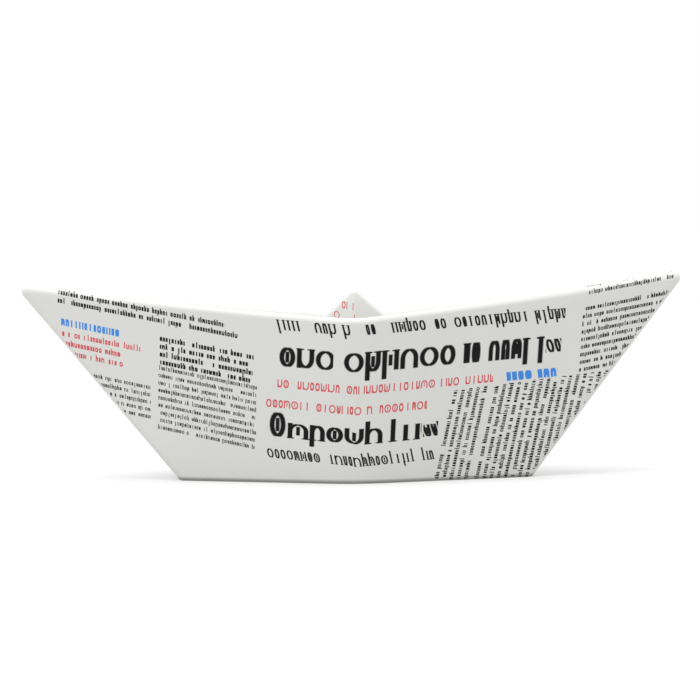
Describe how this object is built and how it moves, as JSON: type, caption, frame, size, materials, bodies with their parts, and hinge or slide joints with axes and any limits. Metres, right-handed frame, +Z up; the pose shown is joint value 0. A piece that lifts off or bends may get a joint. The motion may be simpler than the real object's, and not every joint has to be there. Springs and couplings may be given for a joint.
{
  "type": "ceramic folded paper boat",
  "caption": "Glazed ceramic boat in the form of a folded paper boat, with a pointed bow and stern, a peak in its middle, a thick rounded rim and a news-sheet pattern.",
  "frame": {"origin": "on the ground, under the middle of the keel", "axes": "+X from the stern to the bow, +Y to the boat's far side, +Z up"},
  "size_m": [0.3016, 0.0904, 0.093],
  "materials": {
    "printed_glaze": "gloss"
  },
  "bodies": {
    "root": {"boat": "printed_glaze"}
  },
  "joints": []
}
